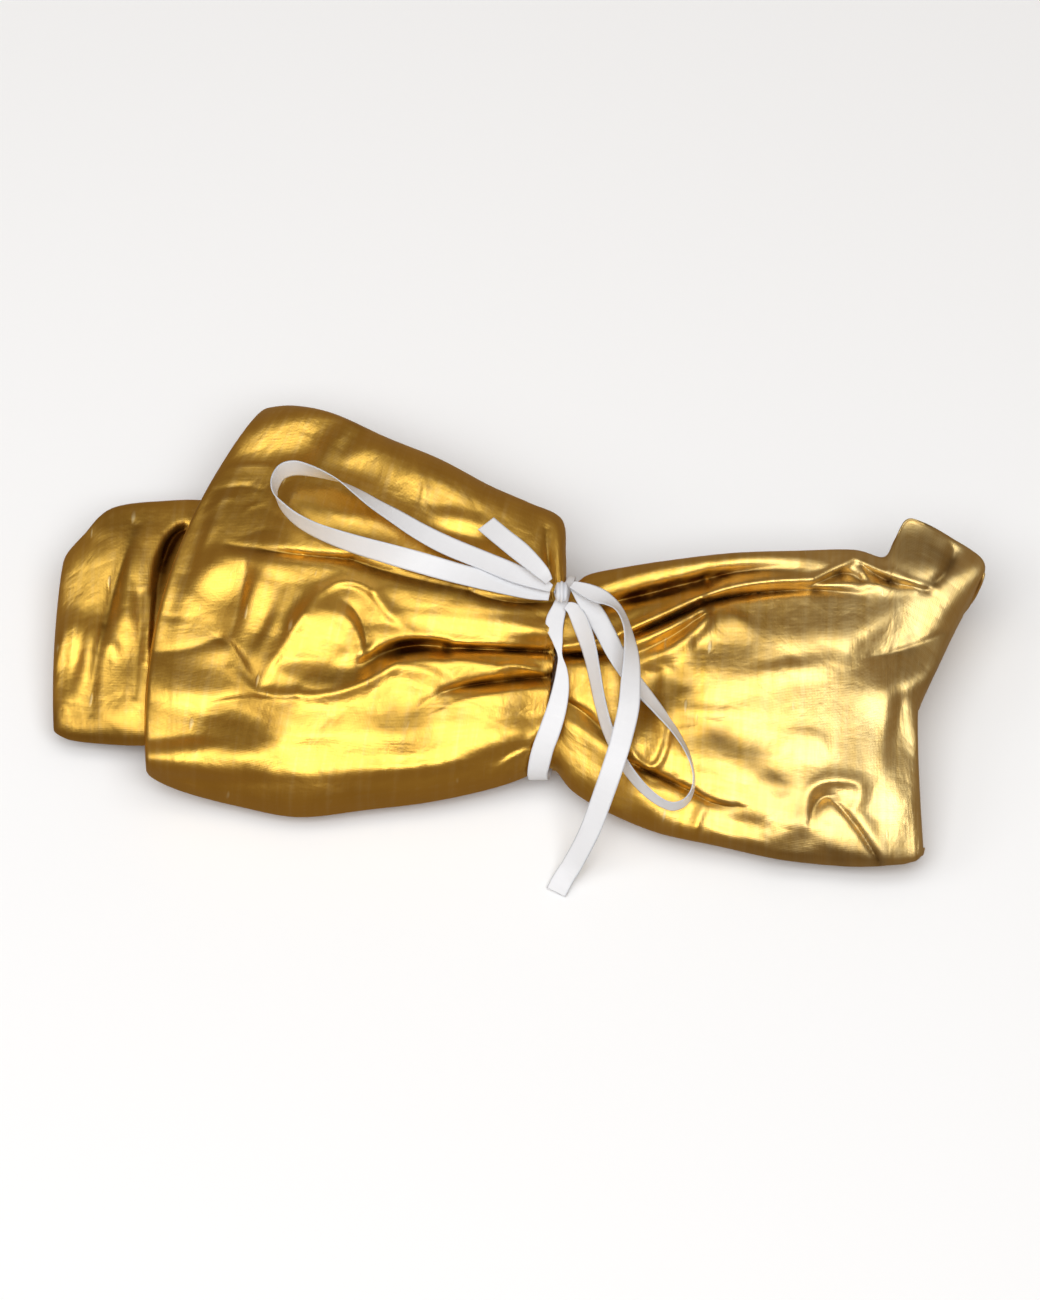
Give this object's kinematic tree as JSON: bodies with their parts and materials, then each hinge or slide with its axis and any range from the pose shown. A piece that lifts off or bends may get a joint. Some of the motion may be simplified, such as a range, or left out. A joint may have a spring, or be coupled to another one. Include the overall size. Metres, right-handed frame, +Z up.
{
  "type": "turban",
  "caption": "Gathered metallic cloth turban lying flat, with a wide front layer, a pleated side fold, a narrower back band and a thin ribbon tied in a bow at the waist.",
  "frame": {"origin": "on the ground under the waist, in the underside of the back band", "axes": "+X along the turban from the side fold to the flared corner, +Y towards the crown, +Z up from the surface that it lies on"},
  "size_m": [0.2802, 0.1597, 0.0463],
  "materials": {
    "gold_cloth": "shiny metallic weave",
    "white_ribbon": "satin"
  },
  "bodies": {
    "root": {"left_panel": "gold_cloth", "right_panel": "gold_cloth", "side_fold": "gold_cloth", "back_band": "gold_cloth", "ribbon_band": "white_ribbon", "ribbon_knot": "white_ribbon", "ribbon_loop_left": "white_ribbon", "ribbon_loop_right": "white_ribbon", "ribbon_tail_short": "white_ribbon", "ribbon_tail_long": "white_ribbon"}
  },
  "joints": []
}
